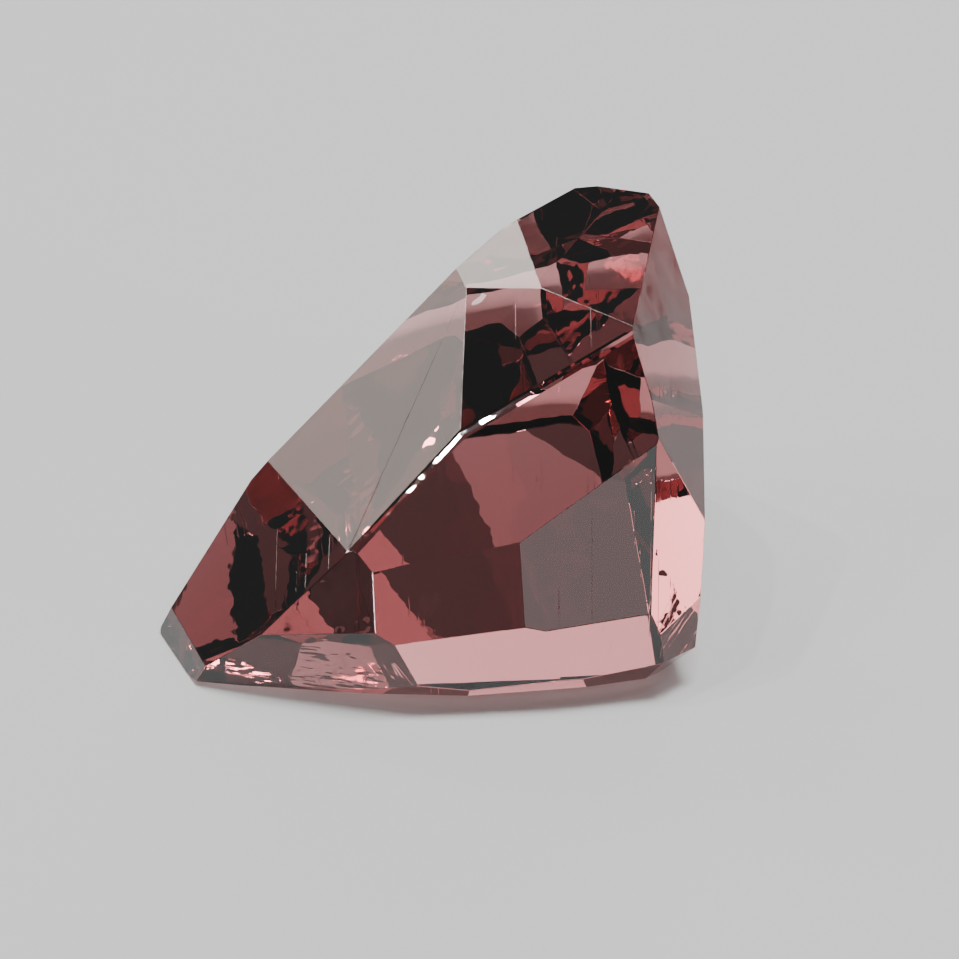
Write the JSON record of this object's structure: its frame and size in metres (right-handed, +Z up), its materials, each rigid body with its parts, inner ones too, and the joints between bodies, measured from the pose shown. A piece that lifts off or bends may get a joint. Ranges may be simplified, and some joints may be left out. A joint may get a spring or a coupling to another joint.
{
  "type": "cut garnet",
  "caption": "Loose transparent faceted gemstone of rounded three-cornered outline, lying on its flat table with its off-centre keel up.",
  "frame": {"origin": "under the middle of the stone, on the surface that its table rests on", "axes": "+Z up, -Y towards the front, +X towards the right as seen from the front"},
  "size_m": [0.009, 0.0096, 0.0059],
  "materials": {
    "garnet": "polished, with fine wear"
  },
  "bodies": {
    "root": {"cut_garnet": "garnet"}
  },
  "joints": []
}
